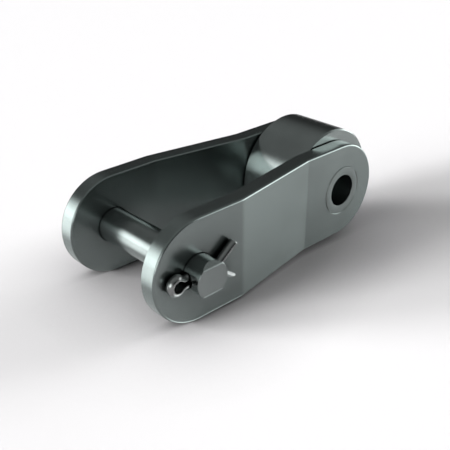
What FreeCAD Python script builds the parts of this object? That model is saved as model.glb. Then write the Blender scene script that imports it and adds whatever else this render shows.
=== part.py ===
import FreeCAD, Part
import os

import Sketcher

# Offset chain link of a large roller chain: two cranked side plates carry a bush and its roller
# at their narrow end, and a removable pin, locked by a cotter, at their wide end.
# Millimetres. The origin is the centre of the bush, +X points from the pin to the bush, +Z is up,
# and the pin's cottered end points along -Y.

VECTOR = FreeCAD.Vector

SIZES = [
    ("pitch", 50.8, "pin centre to bush centre"),
    ("plate_thickness", 4.0, "side plate"),
    ("plate_height", 23.4, "side plate, across its straight edges"),
    ("end_overhang", 11.2, "hole centre to the plate's rounded end"),
    ("roller_gap", 15.88, "between the plates at the bush"),
    ("link_clearance", 0.12, "next link's narrow end to each plate at the pin"),
    ("pin_to_bend", 12.9, "pin centre to the first bend on the outer face"),
    ("bush_to_bend", 13.1, "bush centre to the second bend on the outer face"),
    ("bend_radius", 2.0, "inside of each bend"),
    ("plate_edge_round", 0.5, "rolled edge of the plate's outer face"),
    ("plate_edge_break", 0.25, "broken edge of the plate's inner face"),
    ("plate_hole_break", 0.15, "mouths of the plate's two holes"),
    ("pin_diameter", 7.94, "link pin"),
    ("pin_fit", 0.03, "pin to plate hole and to bush bore, radial"),
    ("pin_end_wall", 1.85, "cotter hole to the pin's near end"),
    ("pin_bevel_depth", 1.0, "flat bevels of the near end, into the end face"),
    ("pin_bevel_length", 1.0, "flat bevels of the near end, along the pin"),
    ("pin_end_chamfer", 0.15, "edge of the near end face"),
    ("pin_head_rim", 1.3, "head beyond the shank, radial"),
    ("pin_head_length", 1.6, "head on the far plate"),
    ("pin_head_chamfer", 0.5, "outer edge of the head"),
    ("bush_wall", 2.0, "bush"),
    ("bush_chamfer", 0.15, "all four edges of the bush"),
    ("roller_diameter", 28.58, "roller"),
    ("roller_fit", 0.08, "roller on bush, radial"),
    ("roller_side_clearance", 0.15, "roller to each plate"),
    ("roller_chamfer", 0.35, "outer edges of the roller"),
    ("roller_bore_chamfer", 0.4, "both ends of the roller's bore"),
    ("cotter_width", 2.1, "half-round wire, across its flat"),
    ("cotter_leg_gap", 0.9, "between the flats of the two legs in the hole"),
    ("cotter_fit", 0.2, "legs to cotter hole, radial"),
    ("cotter_plate_gap", 0.1, "cotter to the near plate's face"),
    ("cotter_eye_radius", 1.3, "inside of the eye"),
    ("cotter_neck_radius", 2.5, "flat side of the neck between eye and legs"),
    ("cotter_bend_radius", 1.5, "flat side of each bent leg"),
    ("cotter_clear_of_pin", 0.1, "pin surface to where the neck and the bends start"),
    ("cotter_spread", 36.0, "each leg turned out, in degrees"),
    ("cotter_upper_leg", 5.1, "straight stretch beyond the bend"),
    ("cotter_lower_leg", 4.6, "straight stretch beyond the bend"),
    ("cotter_tilt", 0.5, "cotter tipped in its hole, in degrees"),
]

# Distances that several pieces share, as formulas of the sizes above.
GAP_BUSH = "(Sizes.roller_gap / 2)"
FACE_BUSH = "(Sizes.roller_gap / 2 + Sizes.plate_thickness)"
GAP_PIN = "(Sizes.roller_gap / 2 + Sizes.plate_thickness + Sizes.link_clearance)"
FACE_PIN = "(Sizes.roller_gap / 2 + 2 * Sizes.plate_thickness + Sizes.link_clearance)"
PIN_RADIUS = "(Sizes.pin_diameter / 2)"
BORE_RADIUS = "(Sizes.pin_diameter / 2 + Sizes.pin_fit)"
BUSH_RADIUS = "(Sizes.pin_diameter / 2 + Sizes.pin_fit + Sizes.bush_wall)"
HEAD_RADIUS = "(Sizes.pin_diameter / 2 + Sizes.pin_head_rim)"
ROLLER_BORE = "(Sizes.pin_diameter / 2 + Sizes.pin_fit + Sizes.bush_wall + Sizes.roller_fit)"
ROLLER_HALF = "(Sizes.roller_gap / 2 - Sizes.roller_side_clearance)"
COTTER_HOLE = "(Sizes.cotter_width / 2 + Sizes.cotter_leg_gap / 2 + Sizes.cotter_fit)"
COTTER_Y = (
    "(Sizes.roller_gap / 2 + 2 * Sizes.plate_thickness + Sizes.link_clearance"
    " + Sizes.cotter_plate_gap + Sizes.cotter_width / 2)"
)
PIN_END = (
    "(Sizes.roller_gap / 2 + 2 * Sizes.plate_thickness + Sizes.link_clearance"
    " + Sizes.cotter_plate_gap + Sizes.cotter_width + Sizes.cotter_leg_gap / 2"
    " + Sizes.cotter_fit + Sizes.pin_end_wall)"
)
HALF_WIRE = "(Sizes.cotter_width / 2)"
HALF_LEG_GAP = "(Sizes.cotter_leg_gap / 2)"
LEG_REACH = "(Sizes.pin_diameter / 2 + Sizes.cotter_clear_of_pin)"
EYE_RADIUS = "Sizes.cotter_eye_radius"
NECK_RADIUS = "Sizes.cotter_neck_radius"
BEND_RADIUS = "Sizes.cotter_bend_radius"
EYE_CENTRE = (
    f"(-{LEG_REACH} - sqrt(({NECK_RADIUS} + {EYE_RADIUS})^2 - ({NECK_RADIUS} + {HALF_LEG_GAP})^2))"
)
EYE_START = f"({EYE_CENTRE} - {EYE_RADIUS})"

document = FreeCAD.newDocument("OffsetChainLink")

sheet = document.addObject("Spreadsheet::Sheet", "Sizes")
for row, (alias, size, note) in enumerate(SIZES, start=1):
    sheet.set(f"A{row}", str(size))
    sheet.setAlias(f"A{row}", alias)
    sheet.set(f"B{row}", note)
document.recompute()


def number(owner, formula):
    """The present value of a formula of the sizes."""
    return float(owner.evalExpression(formula))


def new_body(name):
    body = document.addObject("PartDesign::Body", name)
    body.Label = name
    return body


def new_sketch(body, plane, name):
    """A sketch on one of the body's own origin planes."""
    sketch = body.newObject("Sketcher::SketchObject", name)
    support = next(part for part in body.Origin.OriginFeatures if part.Role == plane)
    sketch.AttachmentSupport = [(support, "")]
    sketch.MapMode = "FlatFace"
    document.recompute()
    return sketch


def constrain(sketch, formula, kind, *where):
    """Adds a dimension to a sketch and binds it to a formula of the sizes."""
    index = sketch.addConstraint(Sketcher.Constraint(kind, *where, number(sketch, formula)))
    sketch.setExpression(f"Constraints[{index}]", formula)


def hold_point(sketch, curve, end, across, along):
    """Places one end of a curve, measured from the sketch's origin."""
    constrain(sketch, across, "DistanceX", -1, 1, curve, end)
    constrain(sketch, along, "DistanceY", -1, 1, curve, end)


def add_polygon(sketch, corners):
    """A closed outline of straight sides."""
    first = sketch.GeometryCount
    points = [VECTOR(number(sketch, across), number(sketch, along), 0) for across, along in corners]
    count = len(points)
    for side in range(count):
        sketch.addGeometry(Part.LineSegment(points[side], points[(side + 1) % count]), False)
    for side in range(count):
        following = first + (side + 1) % count
        sketch.addConstraint(Sketcher.Constraint("Coincident", first + side, 2, following, 1))
    for side, (across, along) in enumerate(corners):
        hold_point(sketch, first + side, 1, across, along)


def add_circle(sketch, across, along, radius):
    centre = VECTOR(number(sketch, across), number(sketch, along), 0)
    circle = sketch.addGeometry(Part.Circle(centre, VECTOR(0, 0, 1), number(sketch, radius)), False)
    hold_point(sketch, circle, 3, across, along)
    constrain(sketch, radius, "Radius", circle)


def arc_about(centre, start, stop):
    """The arc of less than half a turn from start to stop about a centre."""
    radius = (start - centre).Length
    outward = (start - centre) + (stop - centre)
    return Part.Arc(start, centre + outward.normalize() * radius, stop)


def end_near(sketch, curve, point):
    """1 or 2, for the end of a curve that lies nearer to a point."""
    return min((1, 2), key=lambda end: (sketch.getPoint(curve, end) - point).Length)


def join_smoothly(sketch, first, second, point):
    """Makes two curves tangent where their ends meet."""
    first_end, second_end = end_near(sketch, first, point), end_near(sketch, second, point)
    sketch.addConstraint(Sketcher.Constraint("Tangent", first, first_end, second, second_end))


def revolve(body, corners, name):
    """Turns a half section, given as radius and place along Y, about the Y axis."""
    section = new_sketch(body, "XY_Plane", name + "Section")
    add_polygon(section, corners)
    turned = body.newObject("PartDesign::Revolution", name)
    turned.Profile = section
    turned.ReferenceAxis = (section, ["V_Axis"])
    turned.Angle = 360
    document.recompute()
    return turned


def cut_through(body, sketch, name):
    """Cuts a sketch through the whole body, both ways from its plane."""
    cut = body.newObject("PartDesign::Pocket", name)
    cut.Profile = sketch
    cut.Type = "ThroughAll"
    cut.SideType = "Symmetric"
    document.recompute()
    return cut


def edges_of(base, test):
    return [f"Edge{k}" for k, edge in enumerate(base.Shape.Edges, start=1) if test(edge)]


def round_edges(body, base, test, formula, name):
    """Fillets the edges of base that pass the test."""
    fillet = body.newObject("PartDesign::Fillet", name)
    fillet.Base = (base, edges_of(base, test))
    fillet.setExpression("Radius", formula)
    document.recompute()
    return fillet


def break_edges(body, base, test, formula, name):
    """Chamfers the edges of base that pass the test."""
    chamfer = body.newObject("PartDesign::Chamfer", name)
    chamfer.Base = (base, edges_of(base, test))
    chamfer.setExpression("Size", formula)
    document.recompute()
    return chamfer


def middle(edge):
    return edge.valueAt((edge.FirstParameter + edge.LastParameter) / 2)


def crank_section(body):
    """The bent strip seen from above: wide at the pin, narrow at the bush."""
    sketch = new_sketch(body, "XY_Plane", "CrankSection")
    pin_tip = "-Sizes.pitch - Sizes.end_overhang"
    bush_tip = "Sizes.end_overhang"
    first_bend = "-Sizes.pitch + Sizes.pin_to_bend"
    second_bend = "-Sizes.bush_to_bend"
    guess = [
        (pin_tip, f"-{FACE_PIN}"),
        (first_bend, f"-{FACE_PIN}"),
        (second_bend, f"-{FACE_BUSH}"),
        (bush_tip, f"-{FACE_BUSH}"),
        (bush_tip, f"-{GAP_BUSH}"),
        (second_bend, f"-{GAP_BUSH}"),
        (first_bend, f"-{GAP_PIN}"),
        (pin_tip, f"-{GAP_PIN}"),
    ]
    points = [VECTOR(number(sketch, across), number(sketch, along), 0) for across, along in guess]
    for side in range(8):
        sketch.addGeometry(Part.LineSegment(points[side], points[(side + 1) % 8]), False)
    for side in range(8):
        sketch.addConstraint(Sketcher.Constraint("Coincident", side, 2, (side + 1) % 8, 1))
    outer_slope, inner_slope = 1, 5
    for corner in (0, 1, 2, 3):
        hold_point(sketch, corner, 1, *guess[corner])
    for end_side in (3, 7):
        sketch.addConstraint(Sketcher.Constraint("Vertical", end_side))
    for inner_side, gap in ((4, GAP_BUSH), (6, GAP_PIN)):
        sketch.addConstraint(Sketcher.Constraint("Horizontal", inner_side))
        constrain(sketch, f"-{gap}", "DistanceY", -1, 1, inner_side, 1)
    sketch.addConstraint(Sketcher.Constraint("Parallel", outer_slope, inner_slope))
    constrain(sketch, "Sizes.plate_thickness", "Distance", inner_slope, 1, outer_slope)
    return sketch


def plate_outline(body):
    """What is trimmed off the strip: all that lies outside a bar with full round ends."""
    sketch = new_sketch(body, "XZ_Plane", "OutlineSection")
    half = "Sizes.plate_height / 2"
    margin = "Sizes.plate_height"
    left = f"-Sizes.pitch - Sizes.end_overhang - {margin}"
    right = f"Sizes.end_overhang + {margin}"
    add_polygon(
        sketch,
        [(left, f"-{margin}"), (right, f"-{margin}"), (right, margin), (left, margin)],
    )
    pin_centre = f"-Sizes.pitch - Sizes.end_overhang + {half}"
    bush_centre = f"Sizes.end_overhang - {half}"
    radius = number(sketch, half)
    x_pin, x_bush = number(sketch, pin_centre), number(sketch, bush_centre)
    pin_top, pin_low = VECTOR(x_pin, radius, 0), VECTOR(x_pin, -radius, 0)
    bush_top, bush_low = VECTOR(x_bush, radius, 0), VECTOR(x_bush, -radius, 0)
    pin_nose, bush_nose = VECTOR(x_pin - radius, 0, 0), VECTOR(x_bush + radius, 0, 0)
    top = sketch.addGeometry(Part.LineSegment(pin_top, bush_top), False)
    bottom = sketch.addGeometry(Part.LineSegment(pin_low, bush_low), False)
    pin_end = sketch.addGeometry(Part.Arc(pin_top, pin_nose, pin_low), False)
    bush_end = sketch.addGeometry(Part.Arc(bush_low, bush_nose, bush_top), False)
    join_smoothly(sketch, top, pin_end, pin_top)
    join_smoothly(sketch, bottom, pin_end, pin_low)
    join_smoothly(sketch, top, bush_end, bush_top)
    join_smoothly(sketch, bottom, bush_end, bush_low)
    constrain(sketch, half, "Radius", pin_end)
    sketch.addConstraint(Sketcher.Constraint("Equal", pin_end, bush_end))
    for arc, centre in ((pin_end, pin_centre), (bush_end, bush_centre)):
        sketch.addConstraint(Sketcher.Constraint("PointOnObject", arc, 3, -1))
        constrain(sketch, centre, "DistanceX", -1, 1, arc, 3)
    return sketch


def offset_plate(name):
    """One cranked side plate, as it lies on the near side of the link."""
    body = new_body(name)
    strip = body.newObject("PartDesign::Pad", "Strip")
    strip.Profile = crank_section(body)
    strip.SideType = "Symmetric"
    strip.setExpression("Length", "Sizes.plate_height + 2 * Sizes.plate_edge_round")
    document.recompute()

    bend_1 = number(strip, "-Sizes.pitch + Sizes.pin_to_bend")
    bend_2 = number(strip, "-Sizes.bush_to_bend")
    face_1 = number(strip, f"-{FACE_PIN}")
    face_2 = number(strip, f"-{FACE_BUSH}")
    thickness = number(strip, "Sizes.plate_thickness")

    def is_fold(edge, bend, face):
        along_z = abs(edge.tangentAt(edge.FirstParameter).z) > 0.999
        at = middle(edge)
        return along_z and abs(at.x - bend) < thickness / 2 and abs(at.y - face) < thickness / 4

    def inner_fold(edge):
        at_pin_end = is_fold(edge, bend_1, face_1 + thickness)
        return at_pin_end or is_fold(edge, bend_2, face_2)

    def outer_fold(edge):
        at_bush_end = is_fold(edge, bend_2, face_2 + thickness)
        return at_bush_end or is_fold(edge, bend_1, face_1)

    inner = round_edges(body, strip, inner_fold, "Sizes.bend_radius", "InnerBends")
    outer_radius = "Sizes.bend_radius + Sizes.plate_thickness"
    round_edges(body, inner, outer_fold, outer_radius, "OuterBends")
    trimmed = cut_through(body, plate_outline(body), "Outline")

    half = number(trimmed, "Sizes.plate_height / 2")
    x_pin = number(trimmed, "-Sizes.pitch - Sizes.end_overhang") + half
    x_bush = number(trimmed, "Sizes.end_overhang") - half

    def on_rim(edge):
        """True for the rim of either face, false for the bends and the walls' own seams."""
        first, last = edge.valueAt(edge.FirstParameter), edge.valueAt(edge.LastParameter)
        across = abs(first.x - last.x) < 1e-4 and abs(first.z - last.z) < 1e-4
        at = middle(edge)
        nearest = min(max(at.x, x_pin), x_bush)
        reach = ((at.x - nearest) ** 2 + at.z ** 2) ** 0.5
        return not across and abs(reach - half) < 1e-3

    def is_outside(edge):
        """True on the outer side of the plate's middle surface."""
        at = middle(edge)
        share = min(max((at.x - bend_1) / (bend_2 - bend_1), 0), 1)
        return at.y < face_1 + share * (face_2 - face_1) + thickness / 2

    def outer_rim(edge):
        return on_rim(edge) and is_outside(edge)

    def inner_rim(edge):
        return on_rim(edge) and not is_outside(edge)

    rolled = round_edges(body, trimmed, outer_rim, "Sizes.plate_edge_round", "OuterRim")
    break_edges(body, rolled, inner_rim, "Sizes.plate_edge_break", "InnerRim")

    holes = new_sketch(body, "XZ_Plane", "HoleSection")
    add_circle(holes, "-Sizes.pitch", "0", BORE_RADIUS)
    add_circle(holes, "0", "0", BUSH_RADIUS)
    drilled = cut_through(body, holes, "Holes")
    pin_radius, bush_radius = number(drilled, BORE_RADIUS), number(drilled, BUSH_RADIUS)

    def hole_mouth(edge):
        """True for both mouths of the pin hole and for the bush hole's outer one."""
        if not isinstance(edge.Curve, Part.Circle) or abs(edge.Curve.Axis.y) < 0.999:
            return False
        of_bush = abs(edge.Curve.Radius - bush_radius) < 1e-3 and is_outside(edge)
        return of_bush or abs(edge.Curve.Radius - pin_radius) < 1e-3

    break_edges(body, drilled, hole_mouth, "Sizes.plate_hole_break", "HoleMouths")
    return body


def link_bush():
    """Pressed into both plates, its ends flush with their outer faces."""
    body = new_body("bush")
    chamfer = "Sizes.bush_chamfer"
    corners = [
        (BORE_RADIUS, f"-{FACE_BUSH} + {chamfer}"),
        (f"{BORE_RADIUS} + {chamfer}", f"-{FACE_BUSH}"),
        (f"{BUSH_RADIUS} - {chamfer}", f"-{FACE_BUSH}"),
        (BUSH_RADIUS, f"-{FACE_BUSH} + {chamfer}"),
        (BUSH_RADIUS, f"{FACE_BUSH} - {chamfer}"),
        (f"{BUSH_RADIUS} - {chamfer}", FACE_BUSH),
        (f"{BORE_RADIUS} + {chamfer}", FACE_BUSH),
        (BORE_RADIUS, f"{FACE_BUSH} - {chamfer}"),
    ]
    revolve(body, corners, "Tube")
    return body


def link_roller():
    """Turns freely on the bush, between the plates."""
    body = new_body("roller")
    inner, outer = "Sizes.roller_bore_chamfer", "Sizes.roller_chamfer"
    outside = "Sizes.roller_diameter / 2"
    corners = [
        (f"{ROLLER_BORE} + {inner}", f"-{ROLLER_HALF}"),
        (f"{outside} - {outer}", f"-{ROLLER_HALF}"),
        (outside, f"-{ROLLER_HALF} + {outer}"),
        (outside, f"{ROLLER_HALF} - {outer}"),
        (f"{outside} - {outer}", ROLLER_HALF),
        (f"{ROLLER_BORE} + {inner}", ROLLER_HALF),
        (ROLLER_BORE, f"{ROLLER_HALF} - {inner}"),
        (ROLLER_BORE, f"-{ROLLER_HALF} + {inner}"),
    ]
    revolve(body, corners, "Ring")
    return body


def link_pin():
    """Headed beyond the far plate, bevelled and cross-drilled beyond the near one."""
    body = new_body("pin")
    body.setExpression("Placement.Base.x", "-Sizes.pitch")
    chamfer = "Sizes.pin_head_chamfer"
    top = f"{FACE_PIN} + Sizes.pin_head_length"
    corners = [
        ("0", f"-{PIN_END}"),
        (PIN_RADIUS, f"-{PIN_END}"),
        (PIN_RADIUS, FACE_PIN),
        (HEAD_RADIUS, FACE_PIN),
        (HEAD_RADIUS, f"{top} - {chamfer}"),
        (f"{HEAD_RADIUS} - {chamfer}", top),
        ("0", top),
    ]
    revolve(body, corners, "Shank")

    depth, length = "Sizes.pin_bevel_depth", "Sizes.pin_bevel_length"
    bevels = new_sketch(body, "YZ_Plane", "BevelSection")
    for sign in ("", "-"):
        corners = [
            (f"-{PIN_END} - {length}", f"{sign}({PIN_RADIUS} - 2 * {depth})"),
            (f"-{PIN_END} + 2 * {length}", f"{sign}({PIN_RADIUS} + {depth})"),
            (f"-{PIN_END} - {length}", f"{sign}({PIN_RADIUS} + {depth})"),
        ]
        add_polygon(bevels, corners)
    bevelled = cut_through(body, bevels, "Bevels")

    end = number(bevelled, f"-{PIN_END}")

    def end_edge(edge):
        points = edge.discretize(5)
        return all(abs(point.y - end) < 1e-4 for point in points)

    break_edges(body, bevelled, end_edge, "Sizes.pin_end_chamfer", "EndChamfer")

    cross = new_sketch(body, "YZ_Plane", "CotterHoleSection")
    add_circle(cross, f"-{COTTER_Y}", "0", COTTER_HOLE)
    cut_through(body, cross, "CotterHole")
    return body


def cotter_half(body, section, side, leg_length):
    """Half of the cotter, bent from half-round wire: eye, neck, straight stretch, bend and leg.
    The path is the wire's flat. side is 1 for the upper half and -1 for the lower one."""
    name = "Upper" if side > 0 else "Lower"
    path = new_sketch(body, "XZ_Plane", name + "Path")
    eye, neck = number(path, EYE_RADIUS), number(path, NECK_RADIUS)
    bend, flat = number(path, BEND_RADIUS), number(path, HALF_LEG_GAP)
    reach, spread = number(path, LEG_REACH), number(path, "Sizes.cotter_spread")
    eye_centre = VECTOR(number(path, EYE_CENTRE), 0, 0)
    neck_centre = VECTOR(-reach, side * (flat + neck), 0)
    bend_centre = VECTOR(reach, side * (flat + bend), 0)
    turn = FreeCAD.Rotation(VECTOR(0, 0, 1), side * spread)

    eye_start = eye_centre - VECTOR(eye, 0, 0)
    eye_end = eye_centre + (neck_centre - eye_centre) * (eye / (eye + neck))
    neck_end = VECTOR(-reach, side * flat, 0)
    bend_start = VECTOR(reach, side * flat, 0)
    bend_end = bend_centre + turn.multVec(bend_start - bend_centre)
    tip = bend_end + turn.multVec(VECTOR(number(path, leg_length), 0, 0))

    eye_arc = path.addGeometry(arc_about(eye_centre, eye_start, eye_end), False)
    neck_arc = path.addGeometry(arc_about(neck_centre, eye_end, neck_end), False)
    stretch = path.addGeometry(Part.LineSegment(neck_end, bend_start), False)
    bend_arc = path.addGeometry(arc_about(bend_centre, bend_start, bend_end), False)
    leg = path.addGeometry(Part.LineSegment(bend_end, tip), False)

    hold_point(path, eye_arc, end_near(path, eye_arc, eye_start), EYE_START, "0")
    path.addConstraint(Sketcher.Constraint("PointOnObject", eye_arc, 3, -1))
    constrain(path, EYE_RADIUS, "Radius", eye_arc)
    constrain(path, NECK_RADIUS, "Radius", neck_arc)
    constrain(path, BEND_RADIUS, "Radius", bend_arc)
    join_smoothly(path, eye_arc, neck_arc, eye_end)
    join_smoothly(path, neck_arc, stretch, neck_end)
    join_smoothly(path, stretch, bend_arc, bend_start)
    join_smoothly(path, bend_arc, leg, bend_end)
    path.addConstraint(Sketcher.Constraint("Horizontal", stretch))
    hold_point(path, stretch, 2, LEG_REACH, HALF_LEG_GAP if side > 0 else f"-{HALF_LEG_GAP}")
    constrain(path, leg_length, "Distance", leg)
    constrain(path, f"{side} * Sizes.cotter_spread * 1 deg", "Angle", leg)

    wire = body.newObject("PartDesign::AdditivePipe", name + "Wire")
    wire.Profile = section
    wire.Spine = path
    document.recompute()
    return wire


def cotter_pin():
    """Half-round wire folded into an eye and two legs, which are bent apart beyond the pin."""
    body = new_body("cotter_pin")
    body.Placement = FreeCAD.Placement(VECTOR(), FreeCAD.Rotation(VECTOR(0, -1, 0), 1))
    body.setExpression("Placement.Base.x", "-Sizes.pitch")
    body.setExpression("Placement.Base.y", f"-{COTTER_Y}")
    body.setExpression("Placement.Rotation.Angle", "Sizes.cotter_tilt * 1 deg")

    section = new_sketch(body, "XY_Plane", "WireSection")
    radius = number(section, HALF_WIRE)
    centre = VECTOR(number(section, EYE_START), 0, 0)
    start, end = centre - VECTOR(0, radius, 0), centre + VECTOR(0, radius, 0)
    flat = section.addGeometry(Part.LineSegment(start, end), False)
    back = section.addGeometry(Part.Arc(start, centre - VECTOR(radius, 0, 0), end), False)
    hold_point(section, flat, 1, EYE_START, f"-{HALF_WIRE}")
    hold_point(section, flat, 2, EYE_START, HALF_WIRE)
    for line_end, point in ((1, start), (2, end)):
        arc_end = end_near(section, back, point)
        section.addConstraint(Sketcher.Constraint("Coincident", flat, line_end, back, arc_end))
    section.addConstraint(Sketcher.Constraint("PointOnObject", back, 3, flat))

    cotter_half(body, section, 1, "Sizes.cotter_upper_leg")
    cotter_half(body, section, -1, "Sizes.cotter_lower_leg")
    return body


near_plate = offset_plate("offset_plate_near")
far_plate = offset_plate("offset_plate_far")
far_plate.Placement = FreeCAD.Placement(VECTOR(), FreeCAD.Rotation(VECTOR(1, 0, 0), 180))
pieces = [near_plate, far_plate, link_bush(), link_roller(), link_pin(), cotter_pin()]
document.recompute()

for item in document.Objects:
    if "Invalid" in item.State or "Error" in item.State:
        raise RuntimeError(f"{item.Name} failed: {item.State}")
for body in pieces:
    shape = body.Shape
    if shape.isNull() or not shape.isValid() or len(shape.Solids) != 1:
        raise RuntimeError(f"{body.Label} is not one valid solid")

os.makedirs("parts", exist_ok=True)
for body in pieces:
    body.Shape.exportStep(f"parts/{body.Label}.step")
    print(f"{body.Label}: {body.Shape.Volume:.1f} mm3")
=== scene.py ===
import math

import bpy
import bmesh
from mathutils import Matrix, Vector


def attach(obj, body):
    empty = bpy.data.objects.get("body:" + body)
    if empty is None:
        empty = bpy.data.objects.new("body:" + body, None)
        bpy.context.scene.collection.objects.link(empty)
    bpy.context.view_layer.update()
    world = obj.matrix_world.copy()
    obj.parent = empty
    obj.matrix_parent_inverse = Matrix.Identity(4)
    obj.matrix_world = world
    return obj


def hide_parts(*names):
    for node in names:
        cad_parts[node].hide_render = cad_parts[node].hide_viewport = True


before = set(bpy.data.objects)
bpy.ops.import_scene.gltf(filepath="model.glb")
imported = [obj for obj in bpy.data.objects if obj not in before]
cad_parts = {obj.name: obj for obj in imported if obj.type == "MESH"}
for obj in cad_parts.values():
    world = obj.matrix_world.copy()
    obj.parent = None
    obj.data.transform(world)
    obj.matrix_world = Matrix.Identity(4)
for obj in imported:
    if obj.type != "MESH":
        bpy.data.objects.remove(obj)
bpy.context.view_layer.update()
print("frame loaded:", ", ".join(sorted(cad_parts)))

mm = 0.001
pinX = -50.8 * mm  # the pin's axis; the bush's axis runs through the origin

noiseSpan = (0.35, 0.65)  # nearly all of a noise's values lie between these
cloudDetail = 3.0  # octaves of the soft patches' noise, and of the finer lay and grain
grainDetail = 2.0
# painted shade: the near-black that the steels' corners darken towards
shadeColour = (0.004, 0.004, 0.004, 1)
cornerSamples = 16

# shader nodes: each helper adds its nodes to a tree and hands back their output


def startMaterial(name):
    material = bpy.data.materials.new(name)
    material.use_nodes = True
    tree = material.node_tree
    tree.nodes.clear()
    output = tree.nodes.new("ShaderNodeOutputMaterial")
    shader = tree.nodes.new("ShaderNodeBsdfPrincipled")
    tree.links.new(shader.outputs["BSDF"], output.inputs["Surface"])
    return material, tree, shader


def feed(tree, value, socket):
    # another node's output is linked, anything else is typed in
    if isinstance(value, bpy.types.NodeSocket):
        tree.links.new(value, socket)
    else:
        socket.default_value = value


def mathNode(tree, operation, *values):
    node = tree.nodes.new("ShaderNodeMath")
    node.operation = operation
    for index, value in enumerate(values):
        feed(tree, value, node.inputs[index])
    return node.outputs[0]


def rangeNode(tree, value, span, result, smooth=False):
    node = tree.nodes.new("ShaderNodeMapRange")
    node.interpolation_type = "SMOOTHSTEP" if smooth else "LINEAR"
    feed(tree, value, node.inputs["Value"])
    node.inputs["From Min"].default_value, node.inputs["From Max"].default_value = span
    node.inputs["To Min"].default_value, node.inputs["To Max"].default_value = result
    return node.outputs["Result"]


def noiseNode(tree, vector, scale, detail=grainDetail, fourth=None):
    node = tree.nodes.new("ShaderNodeTexNoise")
    feed(tree, vector, node.inputs["Vector"])
    if fourth is not None:
        node.noise_dimensions = "4D"
        feed(tree, fourth, node.inputs["W"])
    node.inputs["Scale"].default_value = scale
    node.inputs["Detail"].default_value = detail
    return node.outputs["Fac"]


def mixColour(tree, factor, first, second):
    node = tree.nodes.new("ShaderNodeMix")
    node.data_type = "RGBA"
    feed(tree, factor, node.inputs["Factor"])
    feed(tree, first, node.inputs["A"])
    feed(tree, second, node.inputs["B"])
    return node.outputs["Result"]


def splitVector(tree, vector):
    node = tree.nodes.new("ShaderNodeSeparateXYZ")
    tree.links.new(vector, node.inputs[0])
    return node.outputs


def objectCoordinates(tree, shift=(0, 0, 0), scale=(1, 1, 1)):
    coordinates = tree.nodes.new("ShaderNodeTexCoord")
    mapping = tree.nodes.new("ShaderNodeMapping")
    mapping.inputs["Location"].default_value = shift
    mapping.inputs["Scale"].default_value = scale
    tree.links.new(coordinates.outputs["Object"], mapping.inputs["Vector"])
    return mapping.outputs["Vector"]


def bumpNode(tree, height, distance, below=None):
    node = tree.nodes.new("ShaderNodeBump")
    node.inputs["Distance"].default_value = distance
    tree.links.new(height, node.inputs["Height"])
    if below is not None:
        tree.links.new(below, node.inputs["Normal"])
    return node.outputs["Normal"]


def cornerNode(tree, reach):
    # ambient occlusion, used for painted shade: darkens where another surface stands within reach
    node = tree.nodes.new("ShaderNodeAmbientOcclusion")
    node.samples = cornerSamples
    node.inputs["Distance"].default_value = reach
    return node


# what the steels share


def cloudedColour(tree, cloud, sizes):
    # two shades of one steel, in soft patches
    patch = rangeNode(tree, cloud, noiseSpan, (0, 1), smooth=True)
    return mixColour(tree, patch, sizes["steel"], sizes["cloud"])


def paintCornerShade(tree, colour, reach, depth):
    # painted shade: the colour darkens towards near-black in corners where other surfaces stand near;
    # a depth of 0 leaves it unshaded
    shade = mathNode(tree, "POWER", cornerNode(tree, reach).outputs["AO"], depth)
    return mixColour(tree, shade, shadeColour, colour)


def blendNoise(tree, first, second, share):
    # share of the first noise and the rest of the second
    kept = mathNode(tree, "MULTIPLY", first, share)
    rest = mathNode(tree, "MULTIPLY", second, 1 - share)
    return mathNode(tree, "ADD", kept, rest)


def coverSteel(tree, shader, colour, rough, normal, sizes):
    tree.links.new(colour, shader.inputs["Base Color"])
    tree.links.new(rangeNode(tree, rough, noiseSpan, sizes["roughness"]), shader.inputs["Roughness"])
    tree.links.new(normal, shader.inputs["Normal"])
    shader.inputs["Metallic"].default_value = 1.0


# the finishes, in linear colour and metres; noise scales are in patches per metre
plateFinish = {
    "steel": (0.326, 0.364, 0.356, 1),
    "cloud": (0.298, 0.332, 0.325, 1),  # slightly duller patches
    "cloudScale": 95.0,
    # painted shade in the corners: how near another surface darkens the steel, and how deeply
    "shadeReach": 6 * mm,
    "shadeDepth": 1.0,
    "shadeFrom": (-10 * mm, -5 * mm),  # the painted shade fades out below this band, towards the lowest rim
    "roughness": (0.205, 0.265),
    "cloudShare": 0.6,  # of the roughness; the rolled lay has the rest
    "lay": (260, 3800, 3800),  # rolled lay, long along the link
    "layHeight": 0.1e-6,
    "peen": 900.0,  # tumbled surface, about 1 mm
    "peenHeight": 0.1e-6,
}


def plateSteel():
    sizes = plateFinish
    material, tree, shader = startMaterial("plateSteel")
    plain = objectCoordinates(tree)
    lay = noiseNode(tree, objectCoordinates(tree, scale=sizes["lay"]), 1.0)
    cloud = noiseNode(tree, plain, sizes["cloudScale"], cloudDetail)
    peen = noiseNode(tree, plain, sizes["peen"])
    height = splitVector(tree, plain)["Z"]
    # painted corner shade, fading out towards the lowest rim
    depth = rangeNode(tree, height, sizes["shadeFrom"], (0, sizes["shadeDepth"]), smooth=True)
    colour = paintCornerShade(tree, cloudedColour(tree, cloud, sizes), sizes["shadeReach"], depth)
    rough = blendNoise(tree, cloud, lay, sizes["cloudShare"])
    normal = bumpNode(tree, peen, sizes["peenHeight"])
    normal = bumpNode(tree, lay, sizes["layHeight"], below=normal)
    coverSteel(tree, shader, colour, rough, normal, sizes)
    return material


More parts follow.
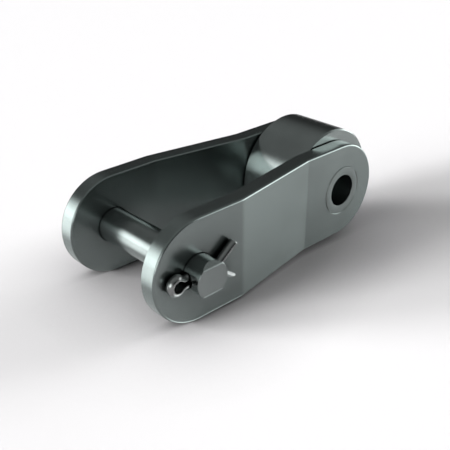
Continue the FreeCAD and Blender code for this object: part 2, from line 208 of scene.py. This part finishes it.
bushFinish = {
    "axisX": 0.0,
    "steel": (0.338, 0.371, 0.364, 1),
    "cloud": (0.307, 0.337, 0.331, 1),
    # painted shade in the groove where the bush meets the plate
    "shadeReach": 0.6 * mm,
    "shadeDepth": 3.0,  # paints the thin dark line of shade round the bush
    "roughness": (0.20, 0.265),
    "layPerMetre": 5200,
}
rollerFinish = {
    "axisX": 0.0,
    "steel": (0.372, 0.402, 0.396, 1),
    "cloud": (0.342, 0.369, 0.364, 1),
    "roughness": (0.17, 0.24),
    "layPerMetre": 4200,
}
pinFinish = {
    "axisX": pinX,
    "steel": (0.335, 0.364, 0.358, 1),
    "cloud": (0.303, 0.330, 0.325, 1),
    # painted shade where the pin stands near the plate and the cotter
    "shadeReach": 5 * mm,
    "shadeDepth": 0.3,
    "roughness": (0.19, 0.26),
    "layPerMetre": 5200,
}
turnedFinish = {
    "cloudScale": 110.0,
    "cloudShare": 0.5,
    "layHeight": 0.2e-6,
}


def turnedSteel(name, own):
    # ground and turned pieces: the lay runs round the piece's own axis, which is along Y
    sizes = {**turnedFinish, **own}
    material, tree, shader = startMaterial(name)
    centred = objectCoordinates(tree, shift=(-sizes["axisX"], 0, 0))
    x, y, z = splitVector(tree, centred)
    squares = mathNode(tree, "ADD", mathNode(tree, "MULTIPLY", x, x), mathNode(tree, "MULTIPLY", z, z))
    radius = mathNode(tree, "SQRT", squares)
    along = mathNode(tree, "ADD", radius, y)
    around = tree.nodes.new("ShaderNodeCombineXYZ")
    tree.links.new(mathNode(tree, "DIVIDE", x, radius), around.inputs["X"])
    tree.links.new(mathNode(tree, "DIVIDE", z, radius), around.inputs["Z"])
    turns = mathNode(tree, "MULTIPLY", along, sizes["layPerMetre"])
    lay = noiseNode(tree, around.outputs[0], 1.0, fourth=turns)
    cloud = noiseNode(tree, centred, sizes["cloudScale"], cloudDetail)
    colour = cloudedColour(tree, cloud, sizes)
    # painted corner shade, where the finish gives one
    if "shadeReach" in sizes:
        colour = paintCornerShade(tree, colour, sizes["shadeReach"], sizes["shadeDepth"])
    rough = blendNoise(tree, cloud, lay, sizes["cloudShare"])
    normal = bumpNode(tree, lay, sizes["layHeight"])
    coverSteel(tree, shader, colour, rough, normal, sizes)
    return material


wireFinish = {
    "steel": (0.395, 0.401, 0.399, 1),
    "cloud": (0.350, 0.356, 0.354, 1),
    "cloudScale": 420.0,
    # painted shade where the wire stands near the pin and the plate
    "shadeReach": 2 * mm,
    "shadeDepth": 0.15,
    "roughness": (0.20, 0.265),
    "grain": 900.0,
    "grainHeight": 0.8e-6,
}


def wireSteel():
    sizes = wireFinish
    material, tree, shader = startMaterial("cotterWire")
    plain = objectCoordinates(tree)
    cloud = noiseNode(tree, plain, sizes["cloudScale"], cloudDetail)
    grain = noiseNode(tree, plain, sizes["grain"])
    # painted corner shade on the wire
    colour = paintCornerShade(tree, cloudedColour(tree, cloud, sizes), sizes["shadeReach"], sizes["shadeDepth"])
    coverSteel(tree, shader, colour, cloud, bumpNode(tree, grain, sizes["grainHeight"]), sizes)
    return material


finishes = {
    "offset_plate_near": plateSteel(),
    "bush": turnedSteel("bushSteel", bushFinish),
    "roller": turnedSteel("rollerSteel", rollerFinish),
    "pin": turnedSteel("pinSteel", pinFinish),
    "cotter_pin": wireSteel(),
}
finishes["offset_plate_far"] = finishes["offset_plate_near"]

for name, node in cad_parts.items():
    node.data.materials.clear()
    node.data.materials.append(finishes[name])
print("finishes on", len(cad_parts), "nodes")

# geometry trees: each has named inputs, and its result becomes a plain mesh
weld = 1e-6
smoothBelow = 35  # degrees between two faces; a sharper edge stays sharp


def startTree(name, inputs):
    tree = bpy.data.node_groups.new(name, "GeometryNodeTree")
    tree.is_modifier = True
    tree.interface.new_socket("Geometry", in_out="INPUT", socket_type="NodeSocketGeometry")
    for label, kind in inputs.items():
        tree.interface.new_socket(label, in_out="INPUT", socket_type=kind)
    tree.interface.new_socket("Geometry", in_out="OUTPUT", socket_type="NodeSocketGeometry")
    return tree, tree.nodes.new("NodeGroupInput"), tree.nodes.new("NodeGroupOutput")


def addStep(tree, kind, geometry=None, **values):
    # a node with its first input linked and its other inputs given by name
    node = tree.nodes.new(kind)
    if geometry is not None:
        tree.links.new(geometry, node.inputs[0])
    for label, value in values.items():
        feed(tree, value, node.inputs[label.replace("_", " ")])
    return node


def endTree(tree, output, mesh, material):
    real = addStep(tree, "GeometryNodeRealizeInstances", mesh)
    coat = addStep(tree, "GeometryNodeSetMaterial", real.outputs[0], Material=material)
    tree.links.new(coat.outputs[0], output.inputs[0])


def makePiece(name, path, closed, tree, values):
    # path is a line of points; the tree turns it into the piece, which keeps no modifier
    data = bpy.data.curves.new(name + "Path", "CURVE")
    data.dimensions = "3D"
    spline = data.splines.new("POLY")
    spline.points.add(len(path) - 1)
    for point, place in zip(spline.points, path):
        point.co = (*place, 1)
    spline.use_cyclic_u = closed
    guide = bpy.data.objects.new(name + "Path", data)
    bpy.context.scene.collection.objects.link(guide)
    modifier = guide.modifiers.new(tree.name, "NODES")
    modifier.node_group = tree
    for item in tree.interface.items_tree:
        if item.in_out == "INPUT" and item.name in values:
            modifier[item.identifier] = values[item.name]
    graph = bpy.context.evaluated_depsgraph_get()
    mesh = bpy.data.meshes.new_from_object(guide.evaluated_get(graph))
    mesh.name = name
    bpy.data.objects.remove(guide)
    work = bmesh.new()
    work.from_mesh(mesh)
    bmesh.ops.remove_doubles(work, verts=work.verts, dist=weld)
    bmesh.ops.recalc_face_normals(work, faces=work.faces)
    work.to_mesh(mesh)
    work.free()
    mesh.shade_smooth()
    mesh.set_sharp_from_angle(angle=math.radians(smoothBelow))
    piece = bpy.data.objects.new(name, mesh)
    bpy.context.scene.collection.objects.link(piece)
    return piece


sleeve = {
    "outer": 6.0 * mm,
    "bore": 4.0 * mm,
    "length": 23.88 * mm,  # flush with both plates' outer faces
    "edge": 0.03 * mm,
    "edgeSteps": 5,
    "chamfer": 0.12 * mm,  # on the outside only, which leaves the thin ring at the plate
    "segments": 128,
}


def sleeveProfile():
    # half the wall's section, mirrored: (out from the wall's middle, along the axis, 0)
    sizes = sleeve
    middle = (sizes["outer"] + sizes["bore"]) / 2
    wall = (sizes["outer"] - sizes["bore"]) / 2
    half = sizes["length"] / 2
    cut = sizes["chamfer"]
    side = [(-wall, half), (wall - cut, half), (wall, half - cut)]
    return middle, [(x, -y, 0) for x, y in side] + [(x, y, 0) for x, y in reversed(side)]


def sleeveTree(material):
    # the section is carried round the Y axis
    tree, start, output = startTree("turnedSleeve", {
        "Axis Radius": "NodeSocketFloat",
        "Edge Round": "NodeSocketFloat",
        "Segments": "NodeSocketInt",
    })
    size = start.outputs
    eased = addStep(tree, "GeometryNodeFilletCurve", size["Geometry"], Radius=size["Edge Round"])
    eased.mode = "POLY"
    eased.inputs["Count"].default_value = sleeve["edgeSteps"]
    eased.inputs["Limit Radius"].default_value = True
    ring = addStep(tree, "GeometryNodeCurvePrimitiveCircle", Resolution=size["Segments"])
    tree.links.new(size["Axis Radius"], ring.inputs["Radius"])
    sweep = addStep(tree, "GeometryNodeCurveToMesh", ring.outputs["Curve"])
    tree.links.new(eased.outputs[0], sweep.inputs["Profile Curve"])
    turn = addStep(tree, "GeometryNodeTransform", sweep.outputs[0])
    turn.inputs["Rotation"].default_value = (math.radians(-90), 0, 0)
    endTree(tree, output, turn.outputs[0], material)
    return tree


axisRadius, profile = sleeveProfile()
pressedBush = makePiece("pressed_bush", profile, True, sleeveTree(finishes["bush"]), {
    "Axis Radius": axisRadius,
    "Edge Round": sleeve["edge"],
    "Segments": sleeve["segments"],
})
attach(pressedBush, "link")
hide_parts("bush")
print("bush turned:", len(pressedBush.data.polygons), "faces")

cotter = {
    "wire": 2.1 * mm,  # across the flat of the half-round wire
    "roundSteps": 25,
    "corner": 0.5 * mm,
    "cornerSteps": 4,
    "legGap": 0.9 * mm,
    "eye": 1.3 * mm,
    "eyeSteps": 22,
    "neck": 2.5 * mm,
    "bend": 1.5 * mm,
    "bendSteps": 8,
    "reach": 4.07 * mm,  # from the pin's axis to where the neck and the bends start
    "spread": 36.0,
    "upperLeg": 5.1 * mm,
    "lowerLeg": 4.6 * mm,
    "legStops": (0.35, 0.7),  # points along a straight leg, as shares of its length
    "tip": 0.25 * mm,
    "tipStops": (1.0, 0.75, 0.5, 0.25, 0.1, 0),  # points before the end, as shares of the tip
    "tipWidth": 0.72,  # what the wire keeps of its width at the very end
    "tilt": 0.5,
    "plane": -17.21 * mm,
}


def arcPoints(centre, radius, start, end, steps):
    # degrees, in the cotter's own plane
    turns = [math.radians(start + (end - start) * k / steps) for k in range(steps + 1)]
    return [(centre[0] + radius * math.cos(t), centre[1] + radius * math.sin(t)) for t in turns]


def cotterPath():
    # the line of the wire's flat, from the lower leg's tip round the eye to the upper leg's tip
    sizes = cotter
    gap, eye, neck, bend = sizes["legGap"] / 2, sizes["eye"], sizes["neck"], sizes["bend"]
    reach, spread = sizes["reach"], sizes["spread"]
    eyeX = -reach - math.sqrt((eye + neck) ** 2 - (gap + neck) ** 2)
    lean = math.degrees(math.asin((gap + neck) / (eye + neck)))  # where the eye runs into the neck
    half = arcPoints((eyeX, 0), eye, 180, lean, sizes["eyeSteps"])
    half += arcPoints((-reach, gap + neck), neck, 180 + lean, 270, sizes["bendSteps"])[1:]
    half += arcPoints((reach, gap + bend), bend, 270, 270 + spread, sizes["bendSteps"])
    x, z = half[-1]
    turn = math.radians(spread)
    halves = []
    for length in (sizes["upperLeg"], sizes["lowerLeg"]):
        stops = [length * share for share in sizes["legStops"]]
        stops += [length - sizes["tip"] * share for share in sizes["tipStops"]]
        halves.append(half + [(x + s * math.cos(turn), z + s * math.sin(turn)) for s in stops])
    upper, lower = halves
    flat = [(px, -pz) for px, pz in reversed(lower)] + upper[1:]
    tilt = math.radians(sizes["tilt"])
    path = []
    for px, pz in flat:
        along = px * math.cos(tilt) - pz * math.sin(tilt)
        above = px * math.sin(tilt) + pz * math.cos(tilt)
        path.append((pinX + along, sizes["plane"], above))
    return path


def wireTree(material):
    # a half-round section with rounded corners, swept along the line of its flat
    tree, start, output = startTree("halfRoundWire", {
        "Wire Width": "NodeSocketFloat",
        "Corner Radius": "NodeSocketFloat",
        "Tip Round": "NodeSocketFloat",
    })
    size = start.outputs
    arc = tree.nodes.new("GeometryNodeCurveArc")
    arc.inputs["Resolution"].default_value = cotter["roundSteps"]
    arc.inputs["Start Angle"].default_value = 0
    arc.inputs["Sweep Angle"].default_value = math.pi
    tree.links.new(mathNode(tree, "DIVIDE", size["Wire Width"], 2.0), arc.inputs["Radius"])
    closed = addStep(tree, "GeometryNodeSetSplineCyclic", arc.outputs["Curve"], Cyclic=True)
    section = addStep(tree, "GeometryNodeFilletCurve", closed.outputs[0], Radius=size["Corner Radius"])
    section.mode = "POLY"
    section.inputs["Count"].default_value = cotter["cornerSteps"]
    section.inputs["Limit Radius"].default_value = True
    # the tips are eased: the section shrinks along a quarter round over the last stretch
    along = tree.nodes.new("GeometryNodeSplineParameter").outputs["Length"]
    whole = tree.nodes.new("GeometryNodeSplineLength").outputs["Length"]
    nearest = mathNode(tree, "MINIMUM", along, mathNode(tree, "SUBTRACT", whole, along))
    into = mathNode(tree, "MINIMUM", mathNode(tree, "DIVIDE", nearest, size["Tip Round"]), 1.0)
    short = mathNode(tree, "SUBTRACT", 1.0, into)
    left = mathNode(tree, "SUBTRACT", 1.0, mathNode(tree, "MULTIPLY", short, short))
    grown = mathNode(tree, "MULTIPLY", mathNode(tree, "SQRT", left), 1 - cotter["tipWidth"])
    width = mathNode(tree, "ADD", cotter["tipWidth"], grown)
    sweep = addStep(tree, "GeometryNodeCurveToMesh", size["Geometry"], Scale=width, Fill_Caps=True)
    tree.links.new(section.outputs[0], sweep.inputs["Profile Curve"])
    endTree(tree, output, sweep.outputs[0], material)
    return tree


splitPin = makePiece("split_pin", cotterPath(), False, wireTree(finishes["cotter_pin"]), {
    "Wire Width": cotter["wire"],
    "Corner Radius": cotter["corner"],
    "Tip Round": cotter["tip"],
})
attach(splitPin, "link")
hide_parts("cotter_pin")
print("split pin swept:", len(splitPin.data.polygons), "faces")

floorPlane = {
    "tilt": math.radians(2.95),  # the link rests on its roller and on both plates' wide ends
    "below": 14.29 * mm,  # the roller's radius
    "reach": 3.0,
    "colour": (0.405, 0.40, 0.405, 1),
    "roughness": 0.9,
    "gloss": 0.1,
    "contact": 25 * mm,  # painted contact shadow: how near the link has to be to darken the floor's colour below it
    "contactMirrored": 0.5,  # what the steel mirrors of that painted shadow
    "mirrored": 0.4,  # how much of the floor the steel mirrors
}


def floorNormal():
    return Vector((math.sin(floorPlane["tilt"]), 0, math.cos(floorPlane["tilt"])))


def layFloor():
    sizes = floorPlane
    along = Vector((math.cos(sizes["tilt"]), 0, -math.sin(sizes["tilt"]))) * sizes["reach"]
    across = Vector((0, 1, 0)) * sizes["reach"]
    middle = -floorNormal() * sizes["below"]
    corners = [middle + along * a + across * b for a, b in ((-1, -1), (1, -1), (1, 1), (-1, 1))]
    mesh = bpy.data.meshes.new("floor")
    mesh.from_pydata(corners, [], [(0, 1, 2, 3)])
    floor = bpy.data.objects.new("floor", mesh)
    bpy.context.scene.collection.objects.link(floor)
    material, tree, shader = startMaterial("paleFloor")
    mirrored = tree.nodes.new("ShaderNodeLightPath").outputs["Is Glossy Ray"]
    # painted contact shadow: ambient occlusion darkens the floor's colour near the link, with less of
    # it in what the steel mirrors
    near = cornerNode(tree, sizes["contact"])
    near.inputs["Color"].default_value = sizes["colour"]
    cleared = mathNode(tree, "MULTIPLY", mirrored, 1 - sizes["contactMirrored"])
    colour = mixColour(tree, cleared, near.outputs["Color"], sizes["colour"])
    tree.links.new(colour, shader.inputs["Base Color"])
    shader.inputs["Roughness"].default_value = sizes["roughness"]
    shader.inputs["Specular IOR Level"].default_value = sizes["gloss"]
    # the steel mirrors the floor only in part, and the studio below it for the rest
    clear = tree.nodes.new("ShaderNodeBsdfTransparent")
    mix = tree.nodes.new("ShaderNodeMixShader")
    tree.links.new(mathNode(tree, "MULTIPLY", mirrored, 1 - sizes["mirrored"]), mix.inputs["Fac"])
    tree.links.new(shader.outputs[0], mix.inputs[1])
    tree.links.new(clear.outputs[0], mix.inputs[2])
    output = next(node for node in tree.nodes if node.type == "OUTPUT_MATERIAL")
    tree.links.new(mix.outputs[0], output.inputs["Surface"])
    mesh.materials.append(material)


layFloor()
print("floor laid")

studio = {
    "openSky": 0.02,  # the floor has its light from the lamps
    "backdrop": (0.97, 0.97, 0.97, 1),  # what the camera sees past the floor's edge
    "tint": (0.965, 1.018, 1.008, 1),
    # what the steel mirrors: from under the horizon, round it, and overhead
    "below": 0.105,
    "low": 0.04,
    "high": 0.22,
    "belowBand": (-0.15, -0.4),  # sines of the elevations that the change runs between
    "highBand": (0.3, 0.8),
    "windows": [
        # azimuth from +X towards +Y, elevation, full within, nothing beyond, brightness
        (133.5, -0.5, 9, 34, 3.15),
        (-33, 11, 9, 27, 2.2),
        (-6, 2, 8, 22, 3.0),
        (-22, -12, 5, 31, 0.65),
        (-160, 15, 7, 22, 3.0),
        (100, 41, 5, 17, -0.03),
        (95, -46, 12, 36, 0.45),
        (-128, 8, 6, 18, 0.6),
        (-40, -58, 9, 20, 3.4),
    ],
    "lamps": [
        # name, azimuth, elevation, angle across, share of the open floor's light
        ("windowHigh", 156, 18, 20, 0.09),
        ("windowLow", 168, 12, 18, 0.285),
        ("windowLeft", 144, 12, 20, 0.25),
        ("backHigh", 180, 18, 20, 0.13),
        ("rightLow", 12, 12, 30, 0.06),
        ("frontLow", -12, 7, 30, 0.17),
    ],
}


def unitVector(azimuth, elevation):
    a, e = math.radians(azimuth), math.radians(elevation)
    return Vector((math.cos(a) * math.cos(e), math.sin(a) * math.cos(e), math.sin(e)))


def backgroundNode(tree, colour, strength):
    node = tree.nodes.new("ShaderNodeBackground")
    node.inputs["Color"].default_value = colour
    feed(tree, strength, node.inputs["Strength"])
    return node.outputs[0]


def mixBackground(tree, factor, first, second):
    node = tree.nodes.new("ShaderNodeMixShader")
    tree.links.new(factor, node.inputs["Fac"])
    tree.links.new(first, node.inputs[1])
    tree.links.new(second, node.inputs[2])
    return node.outputs[0]


def hangStudio():
    world = bpy.data.worlds.new("studio")
    bpy.context.scene.world = world
    world.use_nodes = True
    tree = world.node_tree
    tree.nodes.clear()
    output = tree.nodes.new("ShaderNodeOutputWorld")
    direction = tree.nodes.new("ShaderNodeTexCoord").outputs["Generated"]
    height = splitVector(tree, direction)["Z"]
    level = rangeNode(tree, height, studio["highBand"], (studio["low"], studio["high"]), smooth=True)
    belowMore = (0, studio["below"] - studio["low"])
    lower = rangeNode(tree, height, studio["belowBand"], belowMore, smooth=True)
    level = mathNode(tree, "ADD", level, lower)
    for azimuth, elevation, inner, outer, brightness in studio["windows"]:
        dot = tree.nodes.new("ShaderNodeVectorMath")
        dot.operation = "DOT_PRODUCT"
        tree.links.new(direction, dot.inputs[0])
        dot.inputs[1].default_value = unitVector(azimuth, elevation)
        edge = (math.cos(math.radians(outer)), math.cos(math.radians(inner)))
        glow = rangeNode(tree, dot.outputs["Value"], edge, (0, brightness), smooth=True)
        level = mathNode(tree, "ADD", level, glow)
    rays = tree.nodes.new("ShaderNodeLightPath").outputs
    shine = backgroundNode(tree, studio["tint"], level)
    sky = backgroundNode(tree, (1, 1, 1, 1), studio["openSky"])
    backdrop = backgroundNode(tree, studio["backdrop"], 1.0)
    seen = mixBackground(tree, rays["Is Glossy Ray"], sky, shine)
    seen = mixBackground(tree, rays["Is Camera Ray"], seen, backdrop)
    tree.links.new(seen, output.inputs["Surface"])


def softSun(name, azimuth, elevation, spread, share):
    towards = unitVector(azimuth, elevation)
    data = bpy.data.lights.new(name, "SUN")
    data.angle = math.radians(spread)
    data.energy = share * math.pi / floorPlane["colour"][1] / towards.dot(floorNormal())
    lamp = bpy.data.objects.new(name, data)
    bpy.context.scene.collection.objects.link(lamp)
    lamp.rotation_euler = towards.to_track_quat("Z", "Y").to_euler()
    lamp.visible_glossy = False  # the studio's own windows are what the steel mirrors


hangStudio()
for lamp in studio["lamps"]:
    softSun(*lamp)
print("studio hung:", len(studio["windows"]), "windows,", len(studio["lamps"]), "lamps")

photoCamera = {
    "place": (-133.40 * mm, -111.46 * mm, 76.52 * mm),
    "yaw": 43.389,  # degrees from +Y towards +X
    "pitch": -27.680,
    "roll": -0.166,
    "focal": 739.33,  # in pixels of the square picture
    "picture": 450,
    "sensor": 36,
    "clip": (0.005, 20),
}


def setCamera():
    sizes = photoCamera
    yaw, pitch, roll = (math.radians(sizes[key]) for key in ("yaw", "pitch", "roll"))
    ahead = Vector((math.sin(yaw) * math.cos(pitch), math.cos(yaw) * math.cos(pitch), math.sin(pitch)))
    right = Vector((math.cos(yaw), -math.sin(yaw), 0))
    up = right.cross(ahead)
    right = right * math.cos(roll) + up * math.sin(roll)
    up = right.cross(ahead)
    data = bpy.data.cameras.new("photoCamera")
    data.sensor_width = sizes["sensor"]
    data.lens = sizes["focal"] / sizes["picture"] * sizes["sensor"]
    data.clip_start, data.clip_end = sizes["clip"]
    camera = bpy.data.objects.new("photoCamera", data)
    bpy.context.scene.collection.objects.link(camera)
    turned = Matrix((right, up, -ahead)).transposed().to_4x4()
    camera.matrix_world = Matrix.Translation(sizes["place"]) @ turned
    bpy.context.scene.camera = camera


setCamera()
bpy.context.scene.view_settings.view_transform = "Standard"
print("camera set")
